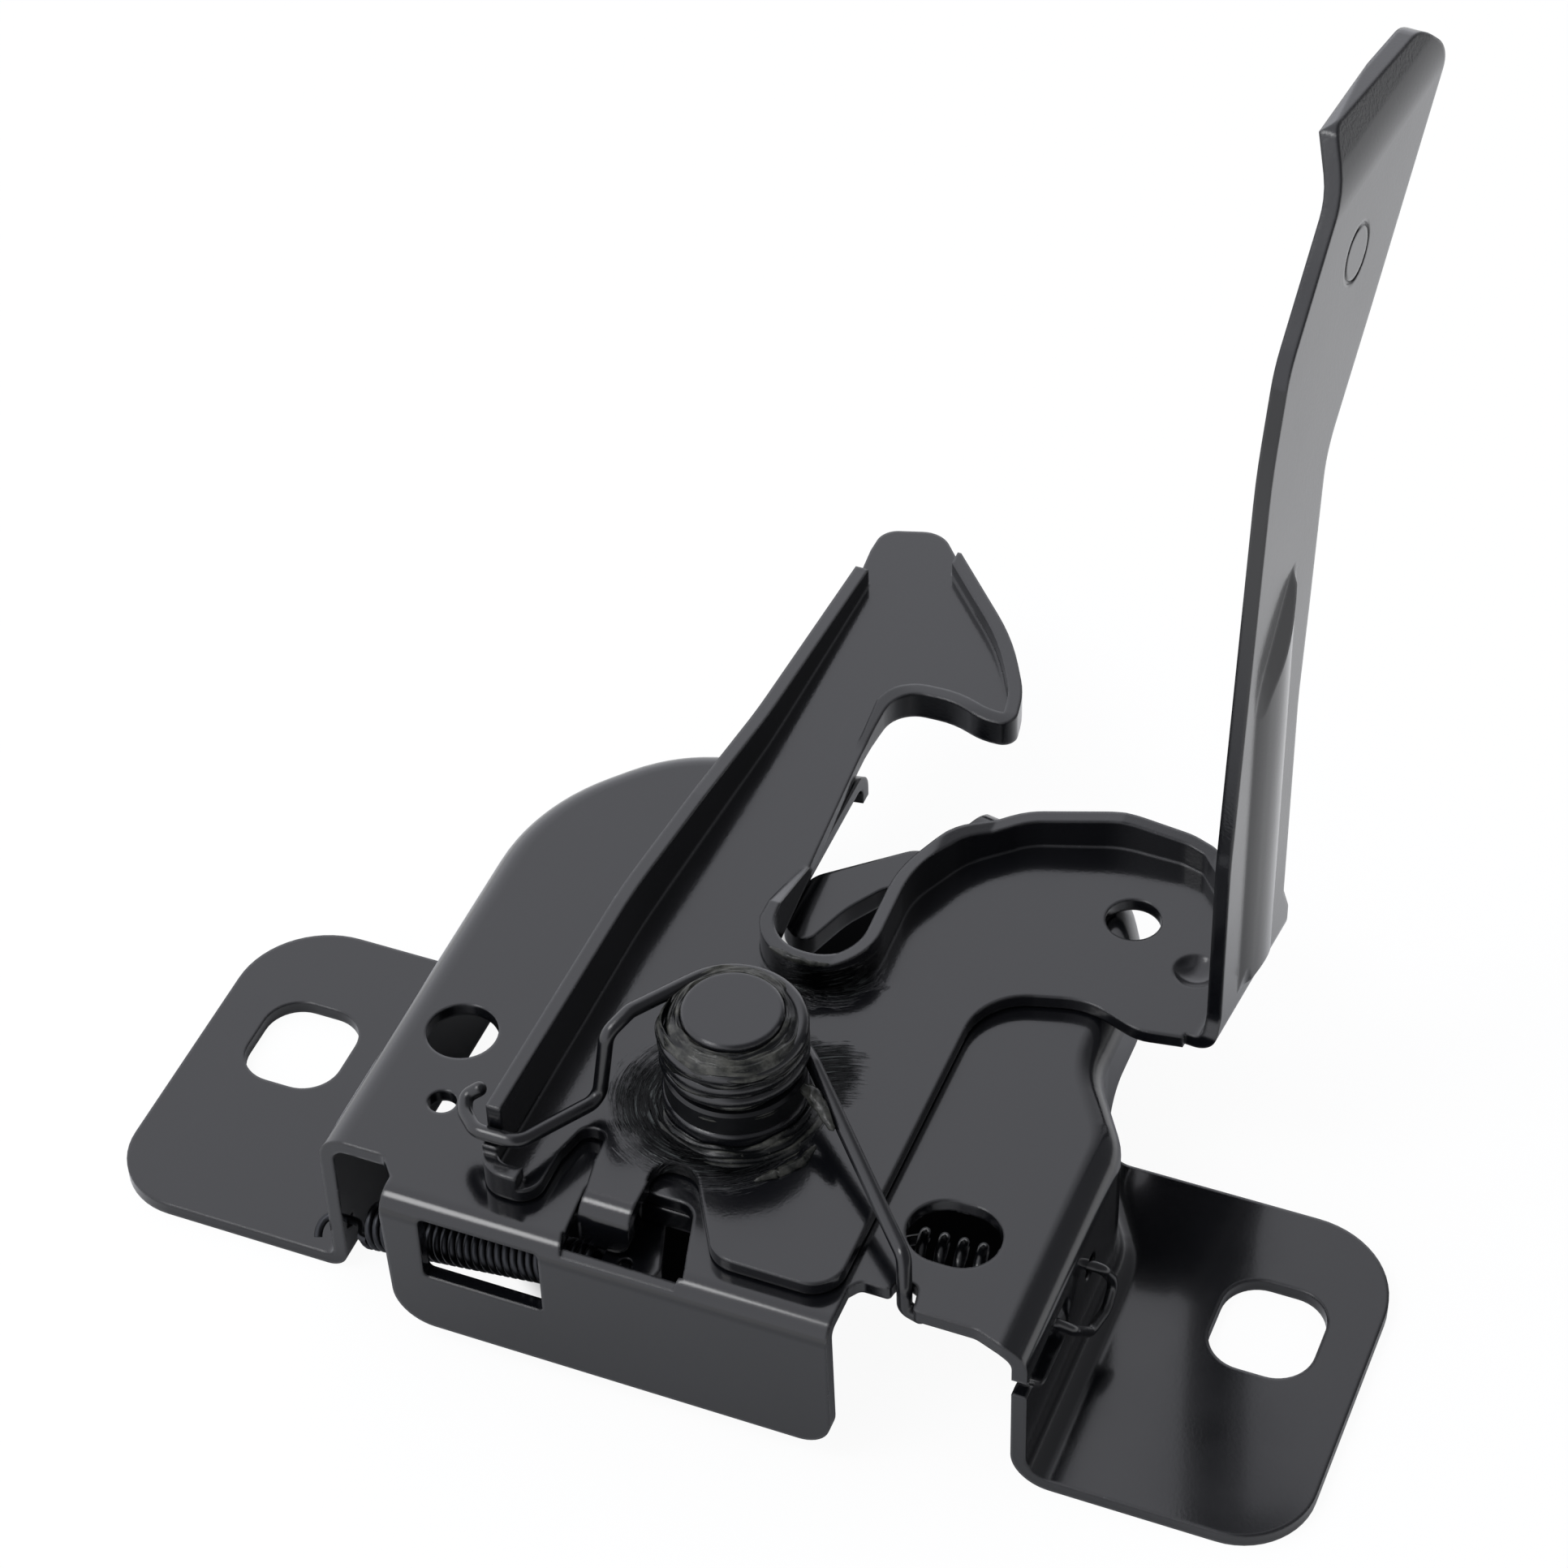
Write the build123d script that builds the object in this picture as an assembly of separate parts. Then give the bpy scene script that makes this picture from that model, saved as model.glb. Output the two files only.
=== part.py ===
from build123d import *
import math
import os

os.makedirs("parts", exist_ok=True)

# Bonnet latch, millimetres. z = 0 is the underside of the two side flanges,
# x = 0 is the middle of the striker slot, and the striker enters along -Y.

# Sheet metal
sheet = 2.5
bend_in = 2.5
bend_out = bend_in + sheet

# Base plate
overall_width = 210.0
deck_top = 32.5
deck_under = deck_top - sheet
body_half = 61.0
waist_depth = 8.8
right_waist = body_half - waist_depth
waist_front = 11.5
waist_back = 25.5
arch_top = 79.0
left_front = -33.6
left_back = 33.6
right_front = -35.2
right_back = 31.3
flange_corner = 12.5
flange_back_corner = 16.0
left_foot_radius = 1.5
right_foot_radius = 4.0
back_rim_bottom = 18.0
mouth_rim_bottom = 25.5
mouth_rim_width = 7.0
front_wall_y = -42.4
front_wall_bottom = 4.0
front_left = -46.2
front_right = 31.0

# Holes and windows of the base plate
bolt_hole_width = 17.6
bolt_hole_height = 19.0
bolt_hole_corner = 6.5
left_bolt = (17.7 - overall_width / 2, 7.0)
right_bolt = (overall_width / 2 - 17.0, 6.1)
deck_hole = (-48.5, -4.6)
deck_hole_diameter = 12.0
small_hole = (-45.0, -19.8)
small_hole_diameter = 4.8
long_hole = (42.3, -16.7)
long_hole_length = 15.5
long_hole_width = 12.8
slot_left = -8.7
slot_right = 8.5
slot_bottom = 21.0
slot_mouth_right = 14.5
stop_window_left = -16.0
stop_window_right = 5.8
stop_window_back = -25.8
stop_window_sill = 30.8
leg_notch_middle = 39.0
leg_notch_back = -28.3
spring_window = (-39.2, -18.1, 16.5, 30.1)

# Pivot stud and what sits on it
stud = (0.0, -3.5)
stud_radius = 8.3
stud_top = 55.0
stud_tenon_radius = 6.0
stud_clinch_radius = 8.4
running_fit = 0.05
bush_radius = 10.0
bush_flange_radius = 12.0
bush_flange_height = 2.5
collar_radius = 11.6
collar_top = 42.5

# Safety catch
catch_gap = 0.5
catch_under = deck_top + catch_gap
catch_top = catch_under + sheet
catch_hook_rim_top = 38.6
arm_hole = (47.5, 55.4)
arm_hole_diameter = 9.4
stop_tab_left = -14.5
stop_tab_right = -5.8
stop_tab_face = -34.6
stop_tab_tip = 26.5

# Handle of the safety catch
handle_foot = (69.1, 35.0)
handle_turn = 5.14
handle_fold = 184.5
handle_width = 25.7
handle_reach = 71.2
handle_lip = 8.2
handle_lip_angle = 30.0
bead_height = 2.0
bead_width = 13.4
dart_place = (60.8, 47.8)
dart_radius = 6.0
dart_depth = 1.3
coin_radius = 4.5
coin_groove = 0.35

# Torsion spring
torsion_wire = 2.5
torsion_outer = 24.4
torsion_pitch = 2.6
torsion_low_angle = 44.0
torsion_high_angle = 145.0
torsion_full_turns = 3
notch_y = -30.1
notch_width = 2.8
notch_bottom = 39.6

# Under the deck
washer_height = 0.5
under_washer_height = 1.0
stud_washer_radius = 9.0
primary_height = 4.0
primary_top = deck_under - washer_height
primary_under = primary_top - primary_height
primary_hub_radius = 13.0
lever_height = 3.0
lever_gap = 0.5
lever_top = primary_under - lever_gap
lever_under = lever_top - lever_height
lever_pivot = (-26.0, -13.5)
lever_rivet_radius = 3.0
lever_clinch_radius = 4.6
lever_washer_radius = 5.5
rivet_head_height = 1.5
rivet_head_radius = 4.5
lever_spacer_radius = 6.0
pin_radius = 2.5
pin_shank_radius = 2.0
pin_place = (-13.0, -12.0)
pin_gap = 0.3
clinch_height = 2.0
axial_play = 0.1
hook_play = 0.5
window_play = 0.1

# Extension springs
closing_wire = 1.8
closing_outer = 9.6
closing_pitch = 3.4
closing_anchor = (28.0, -12.5)
closing_wall_y = -12.0
closing_axis_z = 19.2
loop_hole = (-4.8, 19.2)
loop_hole_radius = 2.4
lever_wire = 1.4
lever_hook_hole_radius = 1.4
lever_spring_outer = 8.4
lever_anchor = (-6.5, -35.0)
lever_spring_end = (-11.5, -35.2, 22.0)
lever_wall_end = (1.0 - body_half, -31.0, 9.5)


# Closed face from corners (x, y, radius), each corner rounded by a tangent arc
def outline(corners, plane=Plane.XY):
    count = len(corners)
    arcs = []
    for i in range(count):
        x, y, radius = corners[i]
        corner = Vector(x, y)
        before = Vector(*corners[i - 1][:2]) - corner
        after = Vector(*corners[(i + 1) % count][:2]) - corner
        back = before.normalized()
        onward = after.normalized()
        half = math.acos(max(-1.0, min(1.0, back.dot(onward)))) / 2
        if radius == 0 or half > 1.5705:
            arcs.append((corner, None, corner))
            continue
        reach = min(radius / math.tan(half), 0.49 * min(before.length, after.length))
        radius = reach * math.tan(half)
        inward = (back + onward).normalized()
        middle = corner + inward * (radius / math.sin(half) - radius)
        arcs.append((corner + back * reach, middle, corner + onward * reach))
    edges = []
    for i in range(count):
        start, middle, stop = arcs[i]
        if middle is not None:
            edges.append(ThreePointArc(start, middle, stop))
        following = arcs[(i + 1) % count][0]
        if (following - stop).length > 1e-5:
            edges.append(Line(stop, following))
    return plane * make_face(Wire(edges))


# Prism between two heights
def prism(corners, low, high):
    return extrude(Pos(0, 0, low) * outline(corners), high - low)


def cylinder(place, radius, low, high):
    return Pos(place[0], place[1], (low + high) / 2) * Cylinder(radius, high - low)


def ring(place, outer, inner, low, high):
    return cylinder(place, outer, low, high) - cylinder(place, inner, low - 1, high + 1)


# Washer held just below a lever by the clinched end of its pivot
def under_washer(place, outer, inner, lever_bottom):
    high = lever_bottom - axial_play
    return ring(place, outer, inner, high - under_washer_height, high)


# Profile in the YZ plane, as (y, z, radius), pulled along X from x0 to x1
def along_x(corners, x0, x1):
    return extrude(outline(corners, Plane.YZ.offset(x0)), x1 - x0)


# Profile in the XZ plane, as (x, z, radius), pulled along +Y from y0 to y1
def along_y(corners, y0, y1):
    return extrude(outline(corners, Plane.XZ.offset(-y0)), y0 - y1)


# Round wire through points, straight between them and turned on arcs at each corner
def bent_wire(points, radius, bend):
    places = [Vector(*p) for p in points]
    edges = []
    last = places[0]
    for before, corner, after in zip(places[:-2], places[1:-1], places[2:]):
        back = (before - corner).normalized()
        onward = (after - corner).normalized()
        half = math.acos(max(-1.0, min(1.0, back.dot(onward)))) / 2
        reach = min(bend / math.tan(half), 0.45 * (before - corner).length, 0.45 * (after - corner).length)
        inner = reach * math.tan(half)
        middle = corner + (back + onward).normalized() * (inner / math.sin(half) - inner)
        edges.append(Line(last, corner + back * reach))
        last = corner + onward * reach
        edges.append(ThreePointArc(corner + back * reach, middle, last))
    edges.append(Line(last, places[-1]))
    body = Pos(*points[0]) * Sphere(radius)
    for edge in edges:
        body = body + sweep(Plane(origin=edge @ 0, z_dir=edge % 0) * Circle(radius), path=edge)
    return body + Pos(*points[-1]) * Sphere(radius)


def deck_contour():
    return [
        (-body_half, -60, 0),
        (-body_half, arch_top - 28.5, 38),
        (-41.7, arch_top - 6.4, 30),
        (0, arch_top, 60),
        (41.0, arch_top - 7.5, 30),
        (right_waist, 50.0, 24),
        (right_waist, waist_back, 14),
        (body_half, waist_front, 14),
        (body_half, -60, 0),
    ]


# One stamping: hat section whose wall follows the arch, with a flange on each side
def make_base():
    contour = outline(deck_contour())
    outer = extrude(contour, deck_top)
    outer = fillet(outer.faces().sort_by(Axis.Z)[-1].edges(), bend_out)
    inner = extrude(Pos(0, 0, -5) * offset(contour, -sheet), deck_under + 5)
    inner = fillet(inner.faces().sort_by(Axis.Z)[-1].edges(), bend_in)
    edge = overall_width / 2
    inside = body_half - 12
    left = prism(
        [
            (-edge, left_front, flange_corner),
            (-edge, left_back, flange_back_corner),
            (-inside, left_back, 0),
            (-inside, left_front, 0),
        ],
        0,
        sheet,
    )
    right = prism(
        [
            (edge, right_front, flange_corner),
            (edge, right_back, flange_back_corner),
            (inside, right_back, 0),
            (inside, right_front, 0),
        ],
        0,
        sheet,
    )
    body = outer + left + right
    for side, radius in ((-1, left_foot_radius), (1, right_foot_radius)):
        foot = [
            e
            for e in body.edges()
            if abs(e.center().Z - sheet) < 0.01
            and abs(e.bounding_box().size.Z) < 0.01
            and 50 < side * e.center().X < body_half + 1
            and e.length > 4
        ]
        body = fillet(foot, radius)
    body = body - inner
    body = body - front_cut()
    for side, back in ((-1, left_back), (1, right_back)):
        rim = along_x(
            [(back, -5, 0), (back, back_rim_bottom, 6), (150, back_rim_bottom, 0), (150, -5, 0)],
            min(0, side * 150),
            max(0, side * 150),
        )
        body = body - rim
    for side, radius in ((-1, left_foot_radius), (1, right_foot_radius)):
        under = [
            e
            for e in body.edges()
            if abs(e.center().Z) < 0.01
            and abs(e.bounding_box().size.Z) < 0.01
            and 45 < side * e.center().X < body_half
            and e.bounding_box().size.Y > 4
        ]
        body = fillet(under, radius + sheet)
    body = body + front_wall()
    return body - base_openings()


# Everything in front of the stamping's front edge, with the leg notch
def front_cut():
    return prism(
        [
            (-150, left_front, 0),
            (-49.0, left_front, 1.5),
            (front_left, -37.0, 0),
            (front_right - 0.5, -37.0, 0),
            (front_right - 0.5, -33.0, 1.0),
            (32.0, -30.8, 1.5),
            (leg_notch_middle - 2.2, -30.8, 0.8),
            (leg_notch_middle - 1.8, leg_notch_back, 1.6),
            (leg_notch_middle + 1.8, leg_notch_back, 1.6),
            (leg_notch_middle + 2.6, -33.4, 0.8),
            (52.0, -33.4, 4.0),
            (57.0, right_front, 4.0),
            (150, right_front, 0),
            (150, -90, 0),
            (-150, -90, 0),
        ],
        -5,
        deck_top + 5,
    )


def front_wall():
    inner_y = front_wall_y + sheet
    strip = along_x(
        [
            (-30.5, deck_top, 0),
            (front_wall_y, deck_top, bend_out - 1),
            (front_wall_y, 0, 0),
            (inner_y, 0, 0),
            (inner_y, deck_under, bend_in - 1),
            (-30.5, deck_under, 0),
        ],
        front_left,
        front_right,
    )
    face = along_y(
        [
            (front_left, deck_top + 5, 0),
            (front_left + 1.2, front_wall_bottom, 7.0),
            (front_right, front_wall_bottom, 5.5),
            (front_right - 0.4, deck_top + 5, 0),
        ],
        front_wall_y - 1,
        -30.0,
    )
    x0, x1, z0, z1 = spring_window
    window = along_y([(x0, z0, 1), (x1, z0, 1), (x1, z1, 1), (x0, z1, 1)], front_wall_y - 1, inner_y + 0.5)
    return (strip & face) - window


def base_openings():
    cuts = prism(
        [
            (slot_left, slot_bottom, 8),
            (slot_right, slot_bottom, 8),
            (slot_right, arch_top - 19, 10),
            (slot_mouth_right, arch_top - 5, 6),
            (slot_mouth_right + 1.5, arch_top + 10, 0),
            (slot_left, arch_top + 10, 0),
        ],
        -1,
        deck_top + 1,
    )
    # The back wall is lower beside the slot's mouth, on its left
    cuts += along_y(
        [
            (slot_left - mouth_rim_width, -5, 0),
            (slot_left - mouth_rim_width, mouth_rim_bottom, 4),
            (slot_left + 1, mouth_rim_bottom, 0),
            (slot_left + 1, -5, 0),
        ],
        left_back + 10,
        arch_top + 10,
    )
    inner_y = front_wall_y + sheet
    stop_window = [
        (stop_window_left, stop_window_back, 3),
        (2.0, stop_window_back, 3.5),
        (stop_window_right, inner_y, 0),
        (stop_window_left + 1, inner_y, 0),
    ]
    cuts += prism(stop_window, deck_under - 2, deck_top + 1)
    sill = [
        (stop_window_left + 0.4, inner_y + 2, 0),
        (stop_window_right - 0.3, inner_y + 2, 0),
        (stop_window_right - 1.5, front_wall_y - 2, 0),
        (stop_window_left + 2.4, front_wall_y - 2, 0),
    ]
    cuts += prism(sill, stop_window_sill, deck_top + 1)
    for place in (left_bolt, right_bolt):
        hole = RectangleRounded(bolt_hole_width, bolt_hole_height, bolt_hole_corner)
        cuts += extrude(Pos(place[0], place[1], -1) * hole, sheet + 2)
    cuts += cylinder(deck_hole, deck_hole_diameter / 2, deck_under - 5, deck_top + 1)
    cuts += cylinder(small_hole, small_hole_diameter / 2, deck_under - 5, deck_top + 1)
    long_one = Pos(long_hole[0], long_hole[1], deck_under - 1) * SlotOverall(long_hole_length, long_hole_width)
    cuts += extrude(long_one, sheet + 2)
    cuts += cylinder(stud, stud_tenon_radius, deck_under - 1, deck_top + 1)
    cuts += rivet_seat()
    # Relief in the right wall, open at its front edge, and the hole for the spring's loop
    cuts += along_x(
        [
            (right_front - 5, 21.5, 0),
            (-32.5, 21.5, 2),
            (-27.0, 15.3, 3),
            (-16.0, 15.3, 2.5),
            (-13.6, 25.0, 3),
            (right_front - 5, 25.0, 0),
        ],
        body_half - 6,
        body_half + 2,
    )
    wire_hole = Plane.YZ.offset(body_half - 6) * Pos(*loop_hole) * Circle(loop_hole_radius)
    cuts += extrude(wire_hole, 8)
    hook_hole = Plane.YZ.offset(-body_half - 2) * Pos(lever_wall_end[1], lever_wall_end[2]) * Circle(lever_hook_hole_radius)
    cuts += extrude(hook_hole, 6)
    return cuts


# Countersunk seat of the lever's flush rivet
def rivet_seat():
    return cylinder(lever_pivot, lever_rivet_radius, deck_under - 1, deck_top + 1) + rivet_head()


def rivet_head():
    middle = deck_top - rivet_head_height / 2
    return Pos(lever_pivot[0], lever_pivot[1], middle) * Cone(lever_rivet_radius, rivet_head_radius, rivet_head_height)


def catch_corners():
    return [
        (-27.0, 121.0, 0),
        (-28.2, 75.0, 200),
        (-31.7, 25.0, 150),
        (-32.1, -35.3, 5.5),
        (-21.6, -35.3, 3.8),
        (-21.5, -25.0, 6),
        (-20.0, -18.8, 2.0),
        (-15.9, -18.8, 2.0),
        (-15.6, -25.0, 8),
        (stop_tab_left, -31.0, 0),
        (stop_tab_right, -31.0, 0),
        (-6.4, -21.0, 4.6),
        (0.3, -21.0, 4.0),
        (9.4, -36.5, 5.5),
        (29.7, -36.6, 5.5),
        (29.7, 31.0, 16),
        (46.0, 35.4, 12),
        (56.0, 31.8, 8),
        (63.5, 33.0, 0),
        (66.5, 61.0, 0),
        (56.5, 71.9, 4),
        (52.0, 73.2, 10),
        (40.0, 73.4, 20),
        (24.0, 68.0, 14),
        (14.6, 59.5, 14),
        (8.6, 47.0, 20),
        (9.3, 24.1, 7.4),
        (-6.4, 24.1, 7.4),
        (-9.8, 80.0, 60),
        (-8.6, 91.8, 7.5),
        (2.0, 92.2, 15),
        (8.0, 89.8, 12),
        (14.0, 90.2, 3),
        (12.6, 98.5, 20),
        (6.1, 111.0, 60),
        (-12.3, 131.6, 0),
        (-17.0, 137.2, 9),
        (-27.4, 134.0, 6),
        (-27.6, 128.0, 0),
    ]


# Wall round part of the plate's edge: the plate's border inside a mask, up to a roof
def rim(border, mask, top):
    return extrude(Pos(0, 0, catch_under) * (border & outline(mask)), top - catch_under)


def catch_plate():
    face = outline(catch_corners())
    border = face - offset(face, -sheet)
    high = catch_top + 14
    plate = extrude(Pos(0, 0, catch_under) * face, sheet)
    notch_high = notch_y + notch_width / 2
    notch_low = notch_y - notch_width / 2
    left_mask = [
        (-45, notch_high, 0),
        (-45, 119.2, 0),
        (-22, 119.2, 0),
        (-22, 60.0, 0),
        (-27, 20.0, 0),
        (-27, notch_high, 0),
    ]
    left = rim(border, left_mask, high)
    left = left & along_x(
        [
            (-40, 20, 0),
            (-40, 46.2, 0),
            (21, 45.3, 0),
            (50, 44.0, 0),
            (73, 42.1, 0),
            (119.5, 39.0, 0),
            (119.5, 20, 0),
        ],
        -60,
        0,
    )
    notch = rim(border, [(-45, -28, 0), (-27, -28, 0), (-27, notch_low, 0), (-45, notch_low, 0)], notch_bottom)
    stub = rim(border, [(-45, notch_low, 0), (-24.5, notch_low, 0), (-24.5, -45, 0), (-45, -45, 0)], catch_top + 2.8)
    hook = rim(border, [(-11.2, 78.0, 0), (30, 78.0, 0), (30, 129.6, 0), (-11.2, 129.6, 0)], high)
    hook = hook & along_x(
        [
            (70, 20, 0),
            (70, catch_top, 0),
            (79, catch_top, 8),
            (92, catch_hook_rim_top, 8),
            (140, catch_hook_rim_top, 0),
            (140, 20, 0),
        ],
        -20,
        30,
    )
    throat = rim(
        border,
        [
            (-9.0, 47.0, 0),
            (-9.0, 18.0, 0),
            (12.0, 18.0, 0),
            (22.0, 45.0, 0),
            (45.0, 62.0, 0),
            (58.0, 62.0, 0),
            (90.0, 54.0, 0),
            (90.0, 78.0, 0),
            (0.0, 78.0, 0),
        ],
        high,
    )
    throat = throat & along_y(
        [
            (-20, 20, 0),
            (-20, 41.5, 0),
            (6, 41.5, 0),
            (13, 43.0, 3),
            (20, 41.2, 0),
            (40, 41.7, 0),
            (57, 40.0, 0),
            (90, 39.5, 0),
            (90, 20, 0),
        ],
        0,
        90,
    )
    throat = throat - along_x([(33, 41.5, 0), (48, catch_top, 0), (60, catch_top, 0), (60, 60, 0), (33, 60, 0)], -20, 1.3)
    return plate + left + notch + stub + hook + throat


def handle_plane():
    turn = math.radians(handle_turn)
    along = Vector(math.sin(turn), math.cos(turn), 0)
    outward = Vector(math.cos(turn), -math.sin(turn), 0)
    origin = Vector(handle_foot[0], handle_foot[1], 0)
    return along, outward, origin


# Upright grip: bent strip cut to its side outline, with a pressed bead and a coined ring
def make_handle():
    along, outward, origin = handle_plane()
    across = Plane(origin=origin, x_dir=outward, z_dir=along * -1)
    side = Plane(origin=origin, x_dir=along, z_dir=outward)
    lean = math.radians(handle_lip_angle)
    out_x = -handle_lip * math.sin(lean)
    out_z = handle_fold + handle_lip * math.cos(lean)
    inset = sheet * math.tan(lean / 2)
    strip = outline(
        [
            (-12, catch_under, 0),
            (0, catch_under, bend_out - 1),
            (0, handle_fold, 12),
            (out_x, out_z, 0),
            (out_x - sheet * math.cos(lean), out_z - sheet * math.sin(lean), 0),
            (-sheet, handle_fold - inset, 12 - sheet),
            (-sheet, catch_top, bend_in - 1),
            (-12, catch_top, 0),
        ],
        across,
    )
    strip = extrude(strip, 100, both=True)
    shape = outline(
        [
            (-1.6, catch_under - 3, 0),
            (-1.6, catch_top + 0.5, 1),
            (0, catch_top + 4, 4),
            (0, 74, 60),
            (6.9, handle_fold - 36.5, 60),
            (11.4, handle_fold - 20, 14),
            (34.8, handle_fold + 7, 3.5),
            (handle_reach - 5.7, handle_fold + 5, 7),
            (handle_reach, handle_fold - 1, 4),
            (45.1, handle_fold - 31.5, 60),
            (handle_width + 4.3, handle_fold - 48.5, 14),
            (handle_width + 1.9, 108, 30),
            (handle_width, 89.3, 60),
            (handle_width, 46, 0),
            (handle_width + 2.8, 40, 2),
            (handle_width + 2.8, catch_under - 3, 0),
        ],
        side,
    )
    grip = strip & extrude(shape, 30, both=True)
    ridge_shape = outline(
        [(6.6, catch_top + 3.5, 1), (6.6, 104, 20), (20.5, 125.5, 1.5), (21.0, 112, 30), (20.2, catch_top + 3.5, 1)],
        side,
    )
    ridge = extrude(ridge_shape, bead_height, taper=55)
    round_radius = (bead_width**2 / 4 + bead_height**2) / (2 * bead_height)
    barrel_axis = outward * (bead_height - round_radius)
    barrel = Pos(*(origin + along * 13.5 + barrel_axis + Vector(0, 0, catch_top + 55))) * Cylinder(round_radius, 130)
    ridge = ridge & barrel
    coin = Plane(origin=origin, x_dir=along, z_dir=outward) * Pos(36.5, handle_fold - 15.6)
    groove = Circle(coin_radius + coin_groove) - Circle(coin_radius - coin_groove)
    groove = extrude(coin * groove, coin_groove - 0.05, both=True)
    hollow = ridge.moved(Location(outward * -sheet))
    return grip + ridge - hollow - groove


def make_catch():
    body = catch_plate() + make_handle()
    tab = along_x(
        [
            (-26, catch_top, 0),
            (stop_tab_face, catch_top, bend_out - 1),
            (stop_tab_face, stop_tab_tip, 0),
            (stop_tab_face + sheet, stop_tab_tip, 0),
            (stop_tab_face + sheet, catch_under, bend_in - 1),
            (-26, catch_under, 0),
        ],
        stop_tab_left,
        stop_tab_right,
    )
    corner_cut = along_y(
        [
            (stop_tab_left, stop_tab_tip, 1),
            (stop_tab_right, stop_tab_tip, 3.2),
            (stop_tab_right, catch_top + 1, 0),
            (stop_tab_left, catch_top + 1, 0),
        ],
        stop_tab_face - 1,
        -20,
    )
    body = body + (tab & corner_cut)
    dart = Pos(dart_place[0], dart_place[1], catch_top + dart_radius - dart_depth) * Sphere(dart_radius)
    body = body - dart
    body = body - cylinder(stud, bush_radius, catch_under - 1, catch_top + 1)
    return body - cylinder(arm_hole, arm_hole_diameter / 2, catch_under - 1, catch_top + 1)


def make_stud():
    head = cylinder(stud, stud_radius, deck_top, stud_top)
    head = chamfer(head.faces().sort_by(Axis.Z)[-1].edges(), 0.4)
    lower = primary_under - axial_play - under_washer_height
    tenon = cylinder(stud, stud_tenon_radius, lower - clinch_height, deck_top)
    clinch = cylinder(stud, stud_clinch_radius, lower - clinch_height, lower)
    clinch = fillet(clinch.faces().sort_by(Axis.Z)[0].edges(), 1.2)
    return head + tenon + clinch


def make_bush():
    bore = stud_radius + running_fit
    body = cylinder(stud, bush_radius, catch_under, catch_top)
    flange = cylinder(stud, bush_flange_radius, catch_top, catch_top + bush_flange_height)
    flange = chamfer(flange.faces().sort_by(Axis.Z)[-1].edges(), 0.4)
    return body + flange - cylinder(stud, bore, catch_under - 1, catch_top + 5)


def make_collar():
    low = catch_top + bush_flange_height + axial_play
    body = ring(stud, collar_radius, stud_radius, low, collar_top)
    top_edge = body.faces().sort_by(Axis.Z)[-1].edges().sort_by(SortBy.LENGTH)[-1]
    return chamfer(top_edge, 0.5)


# Coil round the stud, its upper end running to the catch's rim and its lower end to the deck
def make_torsion_spring():
    radius = torsion_wire / 2
    mean = torsion_outer / 2 - radius
    turns = torsion_full_turns + (torsion_high_angle - torsion_low_angle) / 360
    low = collar_top + radius + axial_play
    high = low + torsion_pitch * turns
    helix = Pos(stud[0], stud[1], low) * Rot(0, 0, torsion_low_angle) * Helix(torsion_pitch, high - low, mean)
    # Swept in short spans, each meeting the next on its round end
    spans = math.ceil(turns * 2)
    rise = (high - low) / spans
    coil = None
    for i in range(spans):
        place = Pos(stud[0], stud[1], low + i * rise) * Rot(0, 0, torsion_low_angle + i * 360 * turns / spans)
        arc = place * Helix(torsion_pitch, rise, mean)
        span = sweep(Plane(origin=arc @ 0, z_dir=arc % 0) * Circle(radius), path=arc, is_frenet=True)
        coil = span if coil is None else coil + span
    level_low = helix @ 0 - (helix % 0) * 6.5
    level_high = helix @ 1 + (helix % 1) * 12.5
    over_plate = catch_top + radius + 0.5
    catch_leg = [
        tuple(helix @ 1),
        tuple(helix @ 1 + (helix % 1) * 1.5),
        (level_high.X, level_high.Y, high),
        (-18.4, -11.6, high - 2.0),
        (-18.9, -14.6, over_plate + 2.4),
        (-19.5, -16.4, over_plate + 1.4),
        (-23.4, -24.6, notch_bottom + 0.6),
        (-26.2, notch_y, notch_bottom + radius + 0.1),
        (-33.6, notch_y, notch_bottom + radius + 0.1),
        (-36.8, -27.2, notch_bottom + radius + 0.1),
        (-37.8, -24.6, notch_bottom + radius + 0.8),
        (-35.9, -23.4, notch_bottom + radius + 2.0),
    ]
    leg_y = leg_notch_back - 1.8
    deck_leg = [
        tuple(helix @ 0),
        tuple(helix @ 0 - (helix % 0) * 1.5),
        (level_low.X, level_low.Y, low),
        (leg_notch_middle - 1.0, leg_y + 2.5, over_plate),
        (leg_notch_middle, leg_y, deck_top + 0.2),
        (leg_notch_middle, leg_y, deck_under - radius - 0.4),
        (leg_notch_middle + 2.6, leg_y, deck_under - radius - 1.4),
    ]
    return coil + bent_wire(catch_leg, radius, 3.2) + bent_wire(deck_leg, radius, 2.6)


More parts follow.
